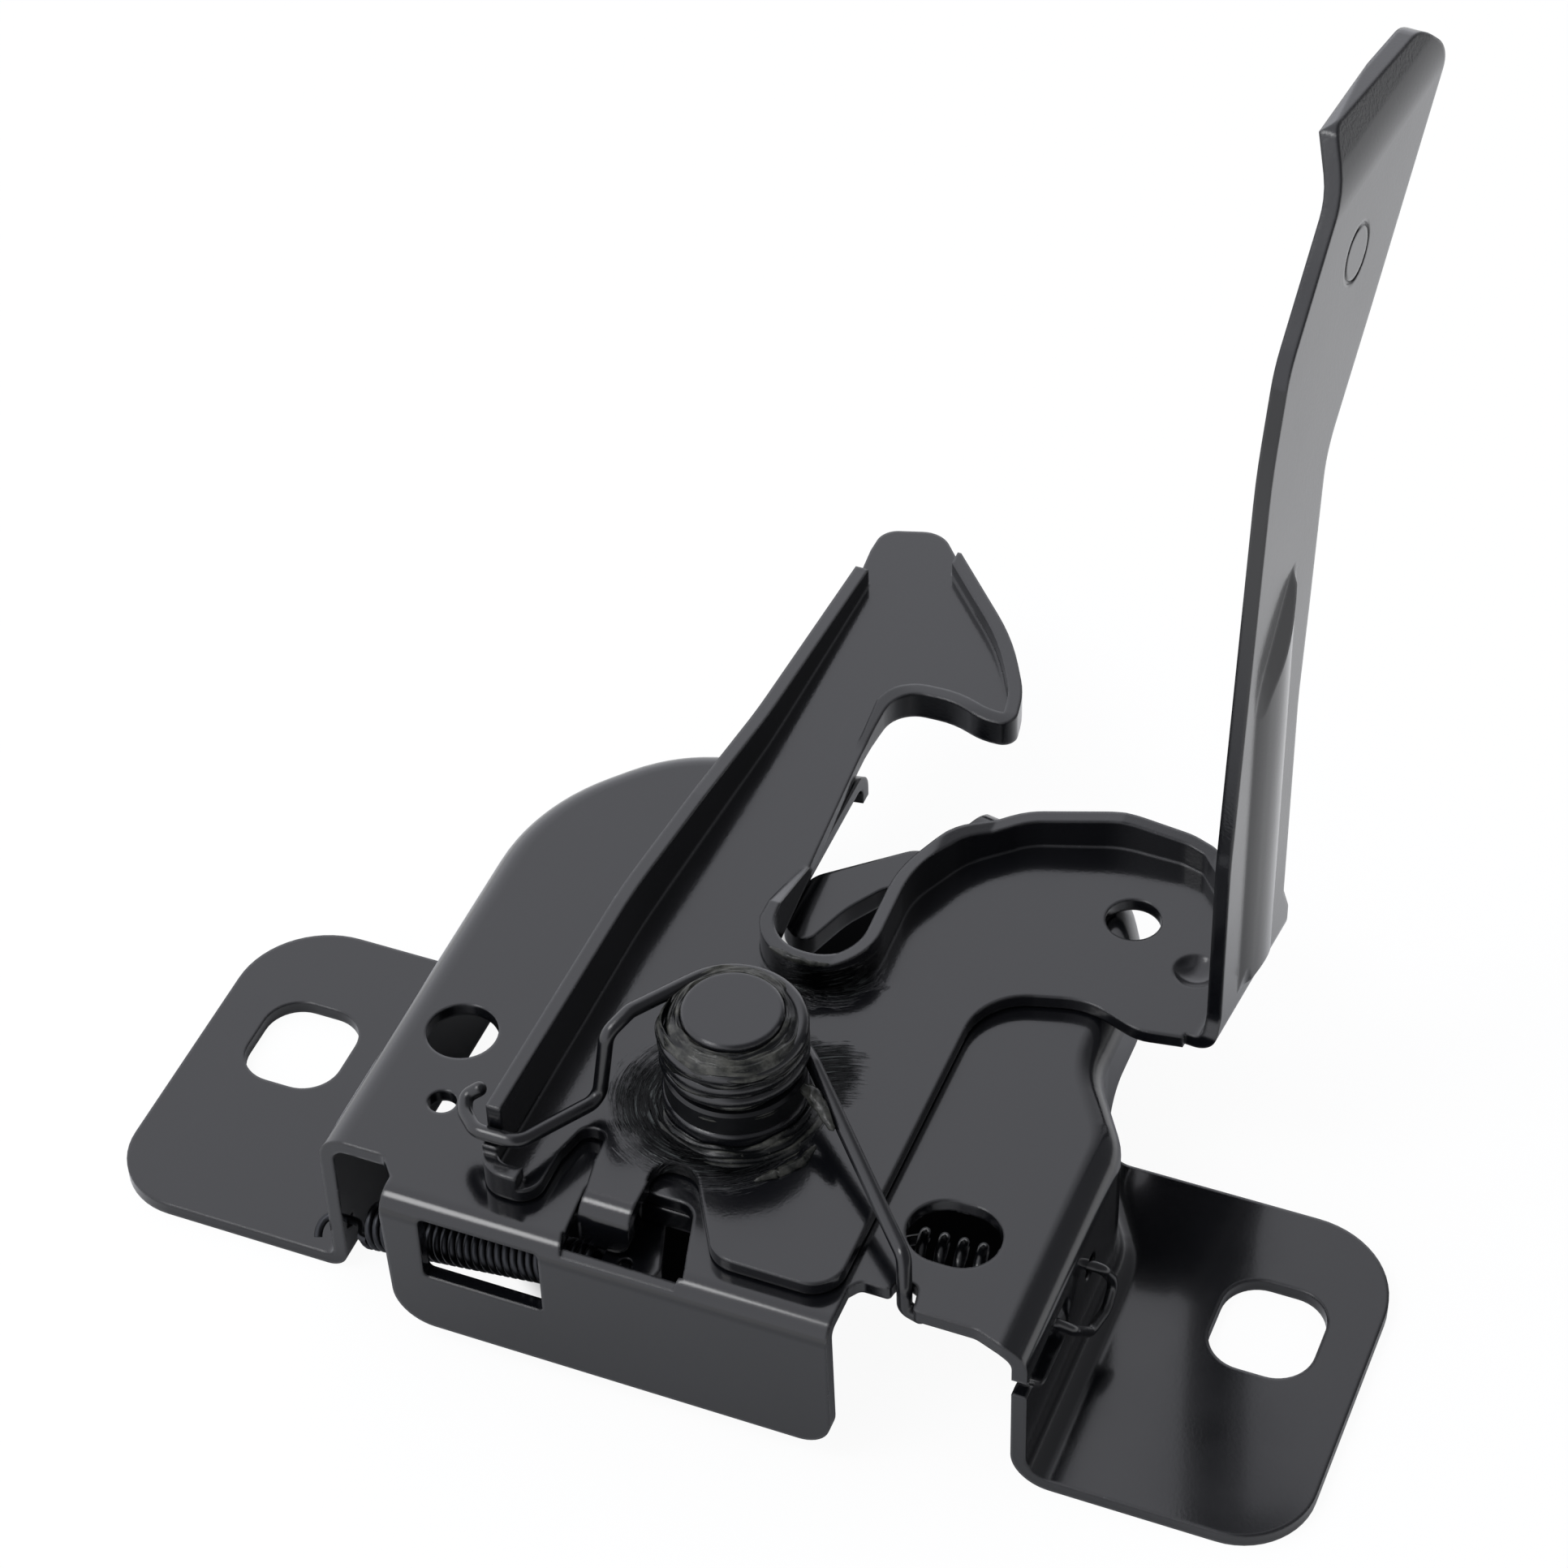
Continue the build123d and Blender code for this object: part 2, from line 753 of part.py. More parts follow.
def make_primary_catch():
    plate = prism(
        [
            (-11.0, 9.0, 6),
            (-17.5, 1.0, 4),
            (-17.5, pin_place[1] + pin_radius + pin_gap, 1.5),
            (-8.0, pin_place[1] + pin_radius + pin_gap, 0),
            (-6.6, -15.0, 3),
            (-8.7, -21.0, 2),
            (-8.7, stop_window_back - window_play, 1.5),
            (3.0, stop_window_back - window_play, 3),
            (8.0, -17.5, 8),
            (31.0, -17.3, 4.5),
            (33.0, -8.0, 4.5),
            (14.0, -7.0, 6),
            (24.5, 24.0, 30),
            (25.5, 46.0, 16),
            (19.0, 63.5, 9),
            (5.5, 64.0, 5),
            (-9.0, 51.5, 6),
            (-10.5, 40.5, 5),
            (-4.4, 35.6, 2.5),
            (-0.6, 46.5, 18),
            (5.0, 55.5, 6),
            (12.5, 53.5, 6),
            (13.0, 18.0, 20),
            (6.0, 8.5, 8),
        ],
        primary_under,
        primary_top,
    )
    plate = plate + cylinder(stud, primary_hub_radius - 1.5, primary_under, primary_top)
    plate = plate - cylinder(stud, stud_tenon_radius + running_fit, primary_under - 1, primary_top + 1)
    return plate - cylinder(closing_anchor, closing_wire / 2 + hook_play, primary_under - 1, primary_top + 1)


def make_release_lever():
    plate = prism(
        [
            (-34.0, -13.0, 7.5),
            (-26.0, -5.5, 7.5),
            (-12.0, -7.7, 4.0),
            (-8.7, -12.5, 4.0),
            (-13.5, -17.0, 4.0),
            (-3.8, -25.0, 1.5),
            (-0.8, -34.0, 2.0),
            (-1.8, -38.2, 3.0),
            (-10.4, -38.2, 2.5),
            (-10.4, -29.6, 3.0),
            (-30.0, -19.5, 7.5),
        ],
        lever_under,
        lever_top,
    )
    plate = plate - cylinder(lever_pivot, lever_rivet_radius + running_fit, lever_under - 1, lever_top + 1)
    plate = plate - cylinder(lever_anchor, lever_wire / 2 + hook_play, lever_under - 1, lever_top + 1)
    cable = (lever_anchor[0] - 8.0, lever_anchor[1] + 13.0)
    plate = plate - cylinder(cable, 2.0, lever_under - 1, lever_top + 1)
    return plate - cylinder(pin_place, pin_shank_radius, lever_under - 1, lever_top + 1)


def make_drive_pin():
    return cylinder(pin_place, pin_shank_radius, lever_under, lever_top) + cylinder(
        pin_place, pin_radius, lever_top, primary_top - 0.4
    )


def make_lever_rivet():
    low = lever_under - axial_play - under_washer_height
    shank = cylinder(lever_pivot, lever_rivet_radius, low - clinch_height, deck_top)
    clinch = cylinder(lever_pivot, lever_clinch_radius, low - clinch_height, low)
    clinch = fillet(clinch.faces().sort_by(Axis.Z)[0].edges(), 0.9)
    return shank + rivet_head() + clinch


# Open coil on a straight line between two points
def coil_between(start, stop, outer, wire, pitch):
    a = Vector(*start)
    run = Vector(*stop) - a
    turns = round(run.length / pitch)
    helix = Plane(origin=a, z_dir=run) * Helix(run.length / turns, run.length, (outer - wire) / 2)
    return helix, sweep(Plane(origin=helix @ 0, z_dir=helix % 0) * Circle(wire / 2), path=helix, is_frenet=True)


def make_closing_spring():
    radius = closing_wire / 2
    ear = closing_anchor
    start = (ear[0] + 6.5, ear[1], closing_axis_z)
    stop = (body_half - 7.0, closing_wall_y, closing_axis_z)
    helix, coil = coil_between(start, stop, closing_outer, closing_wire, closing_pitch)
    below_ear = primary_under - radius - 0.3
    hook = [
        tuple(helix @ 0),
        (ear[0] + 3.0, ear[1], closing_axis_z + 1.6),
        (ear[0] + 2.0, ear[1], below_ear),
        (ear[0], ear[1], below_ear),
        (ear[0], ear[1], primary_top - 0.5),
    ]
    hole_y, hole_z = loop_hole
    loop = [
        tuple(helix @ 1),
        tuple(helix @ 1 + (helix % 1) * 1.6),
        (body_half - 4.2, hole_y - 2.2, hole_z),
        (body_half - 1.2, hole_y, hole_z),
        (body_half + 1.8, hole_y + 0.6, hole_z - 0.6),
        (body_half + 3.4, hole_y + 2.4, hole_z - 5.0),
        (body_half + 3.2, hole_y - 0.8, hole_z - 8.8),
        (body_half + 2.4, hole_y - 6.6, hole_z - 8.0),
        (body_half + 1.2, hole_y - 11.4, hole_z - 2.6),
        (body_half - 1.4, hole_y - 13.0, hole_z + 0.2),
    ]
    return coil + bent_wire(hook, radius, 1.8) + bent_wire(loop, radius, 3.0)


# Close-wound coil as a grooved tube, with a hook at each end
def make_lever_spring():
    radius = lever_wire / 2
    wall = Vector(*lever_wall_end)
    stop = Vector(*lever_spring_end)
    direction = (stop - wall).normalized()
    start = wall + direction * 6.5
    length = (stop - start).length
    turns = round(length / (lever_wire * 1.15))
    pitch = length / turns
    outer = lever_spring_outer / 2
    points = [(outer - lever_wire, 0)]
    for i in range(turns):
        points.append((outer - 0.6, i * pitch))
        points.append((outer, (i + 0.5) * pitch))
    points.append((outer - 0.6, length))
    points.append((outer - lever_wire, length))
    profile = make_face(Polyline(*[(x, 0, z) for x, z in points], close=True))
    tube = revolve(profile, Axis.Z)
    tube = Plane(origin=start, z_dir=direction).location * tube
    mean = Vector(0, 0, -1) * (outer - radius)
    below_lever = lever_under - radius - 0.3
    hook = [
        tuple(stop + mean - direction * 1.2),
        tuple(stop + mean + direction * 0.6),
        (lever_anchor[0] - 2.6, lever_anchor[1], below_lever - 0.6),
        (lever_anchor[0], lever_anchor[1], below_lever),
        (lever_anchor[0], lever_anchor[1], lever_top - 0.5),
    ]
    wall_hook = [
        tuple(start + mean + direction * 1.2),
        tuple(start + mean - direction * 0.6),
        (wall.X + 3.0, wall.Y, wall.Z),
        (wall.X - 2.2, wall.Y, wall.Z),
        (wall.X - 3.4, wall.Y - 2.4, wall.Z - 1.6),
    ]
    return tube + bent_wire(hook, radius, 1.6) + bent_wire(wall_hook, radius, 1.6)


parts = {
    "base_plate": make_base(),
    "safety_catch": make_catch(),
    "pivot_stud": make_stud(),
    "thrust_washer": ring(stud, bush_flange_radius, stud_radius, deck_top, catch_under),
    "catch_bush": make_bush(),
    "spring_collar": make_collar(),
    "torsion_spring": make_torsion_spring(),
    "deck_washer": ring(stud, stud_washer_radius, stud_tenon_radius, primary_top, deck_under),
    "primary_catch": make_primary_catch(),
    "stud_washer": under_washer(stud, stud_washer_radius, stud_tenon_radius, primary_under),
    "lever_rivet": make_lever_rivet(),
    "lever_spacer": ring(lever_pivot, lever_spacer_radius, lever_rivet_radius, lever_top + axial_play, deck_under),
    "release_lever": make_release_lever(),
    "lever_washer": under_washer(lever_pivot, lever_washer_radius, lever_rivet_radius, lever_under),
    "drive_pin": make_drive_pin(),
    "closing_spring": make_closing_spring(),
    "lever_spring": make_lever_spring(),
}

for name, shape in parts.items():
    export_step(shape, f"parts/{name}.step")
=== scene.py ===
import bmesh
import bpy
import math
from mathutils import Matrix, Vector, noise


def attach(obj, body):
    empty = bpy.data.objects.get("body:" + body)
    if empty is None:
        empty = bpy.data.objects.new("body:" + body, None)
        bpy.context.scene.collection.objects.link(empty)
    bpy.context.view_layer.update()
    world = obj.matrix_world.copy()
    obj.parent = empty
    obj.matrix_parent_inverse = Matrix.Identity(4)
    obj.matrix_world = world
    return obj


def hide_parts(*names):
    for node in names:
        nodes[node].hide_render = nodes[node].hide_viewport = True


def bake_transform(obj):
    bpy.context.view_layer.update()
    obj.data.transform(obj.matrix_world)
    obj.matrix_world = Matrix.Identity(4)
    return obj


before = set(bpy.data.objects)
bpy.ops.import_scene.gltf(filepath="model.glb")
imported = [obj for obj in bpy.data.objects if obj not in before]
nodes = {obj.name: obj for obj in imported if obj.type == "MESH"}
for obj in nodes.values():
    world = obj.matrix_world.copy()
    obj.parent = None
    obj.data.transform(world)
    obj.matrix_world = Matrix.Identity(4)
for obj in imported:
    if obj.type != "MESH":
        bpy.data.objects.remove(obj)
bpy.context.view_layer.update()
mm = 0.001
print("frame loaded:", len(nodes), "nodes")


def linear(hexText):
    # sRGB hex to Blender's linear colour
    parts = [int(hexText[i:i + 2], 16) / 255 for i in (1, 3, 5)]
    return [p / 12.92 if p <= 0.04045 else ((p + 0.055) / 1.055) ** 2.4 for p in parts] + [1.0]


def perMm(size):
    # texture scale for a pattern whose blotches are that many millimetres wide
    return 1.0 / (size * mm)


def addNode(tree, kind, settings=None, inputs=None, out=0):
    # settings are the node's own properties; inputs maps a socket to a value or to another node's
    # output; what comes back is the named or numbered output
    node = tree.nodes.new(kind)
    for key, value in (settings or {}).items():
        setattr(node, key, value)
    for key, value in (inputs or {}).items():
        if isinstance(value, bpy.types.NodeSocket):
            tree.links.new(value, node.inputs[key])
        else:
            node.inputs[key].default_value = value
    return node.outputs[out] if node.outputs else node


def newMaterial(name):
    mat = bpy.data.materials.new(name)
    mat.use_nodes = True
    mat.node_tree.nodes.clear()
    return mat, mat.node_tree


# Cathodic dip coat on pressed steel: thin black film, smooth and semi-gloss, a faint pebble
# from the sheet's own grain, bare-looking nicks on the sheared edges and a few hairline scratches
coat = {
    "black": "#0e0f12",
    "faded": "#15161a",
    "nick": "#5d5e61",
    "roughLow": 0.13,
    "roughHigh": 0.21,
    "blotch": 14.0,  # this and the next six are widths in millimetres
    "pebble": 0.6,
    "grit": 0.28,
    "edge": 0.8,
    "chip": 1.1,
    "scratch": 0.35,
    "scratchPatch": 22.0,
    "edgeRange": (0.04, 0.25),  # this and the next three say between which levels a mask rises
    "chipRange": (0.60, 0.66),
    "scratchRange": (0.735, 0.75),
    "patchRange": (0.5, 0.62),
    "scratchTurn": (0.4, 0.2, 0.9),
    "scratchDrawn": 0.03,
    "chipShare": 0.7,
    "scratchShare": 0.12,
    "gritShare": 0.4,
    "bump": 0.25,
    "bumpDepth": 0.04,
    "gloss": 0.8,
    "glossRough": 0.09,
}

# Grease brushed round the stud and the slot's foot: its strokes are arcs, 0.5 mm wide and long
# along the arc
brushed = {
    "areas": [
        # middle of the smear, its reach, how far it thins out, and the point that its strokes run round
        ((-1.5, -7.5), 18.0, 5.0, (-3.0, -6.5)),
        ((4.0, 27.5), 9.5, 4.0, (3.0, 31.0)),
        ((9.0, 3.0), 10.0, 4.0, (22.0, -12.0)),
    ],
    "wander": 8.0,
    "strokeWidth": 0.5,
    "strokeTurn": 0.45,
    "hairRange": (0.54, 0.66),
    "hairShare": 0.8,
    "ridge": 0.3,
    "dull": 0.7,  # metallic share of the film: its dark colour then tints the mirror, as wet dirt does
    "rimLow": 39.8,
    "rimTop": 40.6,
    "dark": "#050607",
    "paste": "#4c504f",
}


def edgeMask(tree, radius):
    # the normal rounded over that radius in millimetres, and a mask that is bright on the edges
    rounded = addNode(tree, "ShaderNodeBevel", {"samples": 6}, {"Radius": radius * mm})
    flat = addNode(tree, "ShaderNodeNewGeometry", out="Normal")
    alike = addNode(tree, "ShaderNodeVectorMath", {"operation": "DOT_PRODUCT"}, {
        0: rounded, 1: flat}, "Value")
    return rounded, addNode(tree, "ShaderNodeMath", {"operation": "SUBTRACT"}, {0: 1.0, 1: alike})


def flatOffset(tree, place, centre):
    # the way from a point of the deck, seen from above, and its length
    offset = addNode(tree, "ShaderNodeVectorMath", {"operation": "SUBTRACT"}, {
        0: place, 1: (centre[0] * mm, centre[1] * mm, 0)})
    flat = addNode(tree, "ShaderNodeVectorMath", {"operation": "MULTIPLY"}, {0: offset, 1: (1, 1, 0)})
    return flat, addNode(tree, "ShaderNodeVectorMath", {"operation": "LENGTH"}, {0: flat}, "Value")


def strokeField(tree, place, area):
    # brush hairs run round a pivot: noise that is narrow across the stroke and long along its arc
    centre, reach, fade, pivot = area
    height = addNode(tree, "ShaderNodeSeparateXYZ", None, {"Vector": place}, "Z")
    flat, radius = flatOffset(tree, place, pivot)
    around = addNode(tree, "ShaderNodeVectorMath", {"operation": "NORMALIZE"}, {0: flat})
    turn = 1 / brushed["strokeTurn"]
    lengthwise = addNode(tree, "ShaderNodeVectorMath", {"operation": "MULTIPLY"}, {
        0: around, 1: (turn, turn, 0)})
    outward = addNode(tree, "ShaderNodeMath", {"operation": "ADD"}, {0: radius, 1: height})
    across = addNode(tree, "ShaderNodeMath", {"operation": "DIVIDE"}, {
        0: outward, 1: brushed["strokeWidth"] * mm})
    drift = addNode(tree, "ShaderNodeCombineXYZ", None, {"Z": across})
    polar = addNode(tree, "ShaderNodeVectorMath", {"operation": "ADD"}, {0: lengthwise, 1: drift})
    hairs = addNode(tree, "ShaderNodeTexNoise", None, {
        "Vector": polar, "Scale": 1.0, "Detail": 3.0, "Roughness": 0.6, "Distortion": 0.5})
    # the film ends in a torn outline: the distance from its middle is bent by blotches and by the hairs
    away = flatOffset(tree, place, centre)[1]
    blotch = addNode(tree, "ShaderNodeTexNoise", None, {
        "Vector": place, "Scale": perMm(brushed["wander"]), "Detail": 3.0, "Roughness": 0.6})
    wander = addNode(tree, "ShaderNodeMath", {"operation": "MULTIPLY"}, {
        0: blotch, 1: brushed["wander"] * mm})
    torn = addNode(tree, "ShaderNodeMath", {"operation": "MULTIPLY"}, {0: hairs, 1: fade * mm})
    spread = addNode(tree, "ShaderNodeMath", {"operation": "ADD"}, {0: away, 1: wander})
    spread = addNode(tree, "ShaderNodeMath", {"operation": "SUBTRACT"}, {0: spread, 1: torn})
    end = (reach + (brushed["wander"] - fade) / 2) * mm
    film = addNode(tree, "ShaderNodeMapRange", {"interpolation_type": "SMOOTHSTEP"}, {
        "Value": spread, "From Min": end - fade * mm, "From Max": end, "To Min": 1.0, "To Max": 0.0})
    low = addNode(tree, "ShaderNodeMapRange", None, {
        "Value": height, "From Min": brushed["rimLow"] * mm, "From Max": brushed["rimTop"] * mm,
        "To Min": 1.0, "To Max": 0.0})
    return addNode(tree, "ShaderNodeMath", {"operation": "MULTIPLY"}, {0: film, 1: low}), hairs


def dippedSteel(name, black, shine=1.0, worn=1.0, greased=False):
    mat, tree = newMaterial(name)
    place = addNode(tree, "ShaderNodeTexCoord", out="Object")
    blotch = addNode(tree, "ShaderNodeTexNoise", None, {
        "Vector": place, "Scale": perMm(coat["blotch"]), "Detail": 3.0, "Roughness": 0.5})
    pebble = addNode(tree, "ShaderNodeTexNoise", None, {
        "Vector": place, "Scale": perMm(coat["pebble"]), "Detail": 2.0, "Roughness": 0.5})
    grit = addNode(tree, "ShaderNodeTexNoise", None, {
        "Vector": place, "Scale": perMm(coat["grit"]), "Detail": 3.0, "Roughness": 0.65})
    rounded, turn = edgeMask(tree, coat["edge"])
    # nicks: small chips that only sit on edges
    low, high = coat["edgeRange"]
    onEdge = addNode(tree, "ShaderNodeMapRange", None, {"Value": turn, "From Min": low, "From Max": high})
    chips = addNode(tree, "ShaderNodeTexNoise", None, {
        "Vector": place, "Scale": perMm(coat["chip"]), "Detail": 4.0, "Roughness": 0.7})
    low, high = coat["chipRange"]
    chips = addNode(tree, "ShaderNodeMapRange", None, {"Value": chips, "From Min": low, "From Max": high})
    nicks = addNode(tree, "ShaderNodeMath", {"operation": "MULTIPLY"}, {0: onEdge, 1: chips})
    nicks = addNode(tree, "ShaderNodeMath", {"operation": "MULTIPLY"}, {
        0: nicks, 1: coat["chipShare"] * worn})
    # hairline scratches: thin bands of a stretched noise, in patches
    turned = addNode(tree, "ShaderNodeMapping", None, {
        "Vector": place, "Rotation": coat["scratchTurn"], "Scale": (1.0, coat["scratchDrawn"], 1.0)})
    lines = addNode(tree, "ShaderNodeTexNoise", None, {
        "Vector": turned, "Scale": perMm(coat["scratch"]), "Detail": 1.0, "Roughness": 0.5})
    low, high = coat["scratchRange"]
    lines = addNode(tree, "ShaderNodeMapRange", None, {"Value": lines, "From Min": low, "From Max": high})
    patches = addNode(tree, "ShaderNodeTexNoise", None, {
        "Vector": place, "Scale": perMm(coat["scratchPatch"]), "Detail": 1.0, "Roughness": 0.5})
    low, high = coat["patchRange"]
    patches = addNode(tree, "ShaderNodeMapRange", None, {"Value": patches, "From Min": low, "From Max": high})
    scratches = addNode(tree, "ShaderNodeMath", {"operation": "MULTIPLY"}, {0: lines, 1: patches})
    scratches = addNode(tree, "ShaderNodeMath", {"operation": "MULTIPLY"}, {
        0: scratches, 1: coat["scratchShare"] * worn})
    marks = addNode(tree, "ShaderNodeMath", {"operation": "MAXIMUM"}, {0: nicks, 1: scratches})
    film = addNode(tree, "ShaderNodeMix", {"data_type": "RGBA"}, {
        0: blotch, 6: linear(black), 7: linear(coat["faded"])}, 2)
    color = addNode(tree, "ShaderNodeMix", {"data_type": "RGBA"}, {
        0: marks, 6: film, 7: linear(coat["nick"])}, 2)
    rough = addNode(tree, "ShaderNodeMapRange", None, {
        "Value": blotch, "From Min": 0.3, "From Max": 0.7,
        "To Min": coat["roughLow"] / shine, "To Max": coat["roughHigh"] / shine})
    grit = addNode(tree, "ShaderNodeMath", {"operation": "MULTIPLY"}, {0: grit, 1: coat["gritShare"]})
    height = addNode(tree, "ShaderNodeMath", {"operation": "ADD"}, {0: pebble, 1: grit})
    bump = addNode(tree, "ShaderNodeBump", None, {
        "Strength": coat["bump"], "Distance": coat["bumpDepth"] * mm, "Height": height, "Normal": rounded})
    glaze = rounded
    gloss = coat["gloss"]
    dulled = 0.0
    if greased:
        # a wet film with combed strokes over the black coat, duller than the coat round it
        for area in brushed["areas"]:
            smear, hairs = strokeField(tree, place, area)
            low, high = brushed["hairRange"]
            pale = addNode(tree, "ShaderNodeMapRange", None, {
                "Value": hairs, "From Min": low, "From Max": high, "To Max": brushed["hairShare"]})
            combed = addNode(tree, "ShaderNodeMix", {"data_type": "RGBA"}, {
                0: pale, 6: linear(brushed["dark"]), 7: linear(brushed["paste"])}, 2)
            color = addNode(tree, "ShaderNodeMix", {"data_type": "RGBA"}, {0: smear, 6: color, 7: combed}, 2)
            ridges = addNode(tree, "ShaderNodeMath", {"operation": "MULTIPLY"}, {0: hairs, 1: smear})
            bump = addNode(tree, "ShaderNodeBump", None, {
                "Strength": 1.0, "Distance": brushed["ridge"] * mm, "Height": ridges, "Normal": bump})
            bare = addNode(tree, "ShaderNodeMath", {"operation": "SUBTRACT"}, {0: 1.0, 1: smear})
            gloss = addNode(tree, "ShaderNodeMath", {"operation": "MULTIPLY"}, {0: bare, 1: gloss})
            dull = addNode(tree, "ShaderNodeMath", {"operation": "MULTIPLY"}, {0: smear, 1: brushed["dull"]})
            dulled = addNode(tree, "ShaderNodeMath", {"operation": "MAXIMUM"}, {0: dull, 1: dulled})
        glaze = bump
    shader = addNode(tree, "ShaderNodeBsdfPrincipled", None, {
        "Base Color": color, "Metallic": dulled, "Roughness": rough, "IOR": 1.5, "Coat Weight": gloss,
        "Coat Roughness": coat["glossRough"], "Coat IOR": 1.5, "Normal": bump, "Coat Normal": glaze})
    addNode(tree, "ShaderNodeOutputMaterial", None, {"Surface": shader})
    return mat


# Zinc-plated or plain steel: dull grey metal with a fine rolled grain
rolled = {
    "grain": 0.3,
    "drawn": 0.08,  # how much narrower the grain is than long
    "cloud": 6.0,
    "edge": 0.3,
    "duller": 0.1,
    "brighter": 0.08,
    "bump": 0.25,
    "bumpDepth": 0.02,
}


def rolledSteel(name, tone, dark, roughness):
    mat, tree = newMaterial(name)
    place = addNode(tree, "ShaderNodeTexCoord", out="Object")
    drawn = addNode(tree, "ShaderNodeMapping", None, {"Vector": place, "Scale": (1.0, rolled["drawn"], 1.0)})
    grain = addNode(tree, "ShaderNodeTexNoise", None, {
        "Vector": drawn, "Scale": perMm(rolled["grain"]), "Detail": 3.0, "Roughness": 0.6})
    cloud = addNode(tree, "ShaderNodeTexNoise", None, {
        "Vector": place, "Scale": perMm(rolled["cloud"]), "Detail": 3.0, "Roughness": 0.5})
    rounded = addNode(tree, "ShaderNodeBevel", {"samples": 6}, {"Radius": rolled["edge"] * mm})
    color = addNode(tree, "ShaderNodeMix", {"data_type": "RGBA"}, {
        0: cloud, 6: linear(dark), 7: linear(tone)}, 2)
    rough = addNode(tree, "ShaderNodeMapRange", None, {
        "Value": grain, "To Min": roughness - rolled["brighter"], "To Max": roughness + rolled["duller"]})
    bump = addNode(tree, "ShaderNodeBump", None, {
        "Strength": rolled["bump"], "Distance": rolled["bumpDepth"] * mm, "Height": grain, "Normal": rounded})
    shader = addNode(tree, "ShaderNodeBsdfPrincipled", None, {
        "Base Color": color, "Metallic": 1.0, "Roughness": rough, "Normal": bump})
    addNode(tree, "ShaderNodeOutputMaterial", None, {"Surface": shader})
    return mat


# Moulded nylon sleeve: smooth black plastic with a soft sheen
sleeve = {
    "deep": "#121315",
    "pale": "#1b1c1e",
    "speck": 0.4,
    "roughness": 0.32,
    "bump": 0.15,
    "bumpDepth": 0.02,
}


def mouldedNylon(name):
    mat, tree = newMaterial(name)
    place = addNode(tree, "ShaderNodeTexCoord", out="Object")
    speck = addNode(tree, "ShaderNodeTexNoise", None, {
        "Vector": place, "Scale": perMm(sleeve["speck"]), "Detail": 3.0, "Roughness": 0.5})
    color = addNode(tree, "ShaderNodeMix", {"data_type": "RGBA"}, {
        0: speck, 6: linear(sleeve["deep"]), 7: linear(sleeve["pale"])}, 2)
    bump = addNode(tree, "ShaderNodeBump", None, {
        "Strength": sleeve["bump"], "Distance": sleeve["bumpDepth"] * mm, "Height": speck})
    shader = addNode(tree, "ShaderNodeBsdfPrincipled", None, {
        "Base Color": color, "Roughness": sleeve["roughness"], "IOR": 1.53, "Normal": bump})
    addNode(tree, "ShaderNodeOutputMaterial", None, {"Surface": shader})
    return mat


# Assembly grease: cloudy olive-grey paste, wet, brushed on in strokes
paste = {
    "deep": "#272926",
    "cloudy": "#5c5c56",
    "thin": "#0c0e0f",
    "fibre": "#74756f",
    "fibreShare": 0.3,
    "cloud": 2.2,
    "stroke": 0.4,
    "drawn": 0.22,
    "roughness": 0.26,
    "bump": 0.5,
    "bumpDepth": 0.15,
}


def brushedGrease(name):
    # thin film where the mesh's own attribute "thick" is low, cloudy paste where it is high
    mat, tree = newMaterial(name)
    place = addNode(tree, "ShaderNodeTexCoord", out="Object")
    cloud = addNode(tree, "ShaderNodeTexNoise", None, {
        "Vector": place, "Scale": perMm(paste["cloud"]), "Detail": 4.0, "Roughness": 0.6})
    cloud = addNode(tree, "ShaderNodeMapRange", None, {"Value": cloud, "From Min": 0.35, "From Max": 0.65})
    combed = addNode(tree, "ShaderNodeMapping", None, {
        "Vector": place, "Scale": (paste["drawn"], paste["drawn"], 1.0)})
    fibre = addNode(tree, "ShaderNodeTexNoise", None, {
        "Vector": combed, "Scale": perMm(paste["stroke"]), "Detail": 4.0, "Roughness": 0.6})
    strands = addNode(tree, "ShaderNodeMapRange", None, {
        "Value": fibre, "From Min": 0.6, "From Max": 0.72, "To Max": paste["fibreShare"]})
    thick = addNode(tree, "ShaderNodeAttribute", {"attribute_name": "thick"}, out="Fac")
    thick = addNode(tree, "ShaderNodeMapRange", None, {"Value": thick, "From Min": 0.25, "From Max": 0.8})
    color = addNode(tree, "ShaderNodeMix", {"data_type": "RGBA"}, {
        0: cloud, 6: linear(paste["deep"]), 7: linear(paste["cloudy"])}, 2)
    color = addNode(tree, "ShaderNodeMix", {"data_type": "RGBA"}, {
        0: thick, 6: linear(paste["thin"]), 7: color}, 2)
    color = addNode(tree, "ShaderNodeMix", {"data_type": "RGBA"}, {
        0: strands, 6: color, 7: linear(paste["fibre"])}, 2)
    bump = addNode(tree, "ShaderNodeBump", None, {
        "Strength": paste["bump"], "Distance": paste["bumpDepth"] * mm, "Height": fibre})
    shader = addNode(tree, "ShaderNodeBsdfPrincipled", None, {
        "Base Color": color, "Roughness": paste["roughness"], "IOR": 1.46, "Normal": bump})
    addNode(tree, "ShaderNodeOutputMaterial", None, {"Surface": shader})
    return mat


dipCoat = dippedSteel("dip_coated_pressed_steel", coat["black"])
greasedCoat = dippedSteel("dip_coated_steel_with_grease", coat["black"], greased=True)
wireCoat = dippedSteel("coated_spring_wire", "#0f1012", 1.1, 0.4)
studCoat = dippedSteel("coated_turned_steel", "#121317", 1.0, 0.5)
plainSteel = rolledSteel("plain_washer_steel", "#8d8e90", "#6a6b6e", 0.38)
springSteel = rolledSteel("drawn_spring_steel", "#4a4b4e", "#343538", 0.34)
nylon = mouldedNylon("black_moulded_nylon")
grease = brushedGrease("brushed_grease")

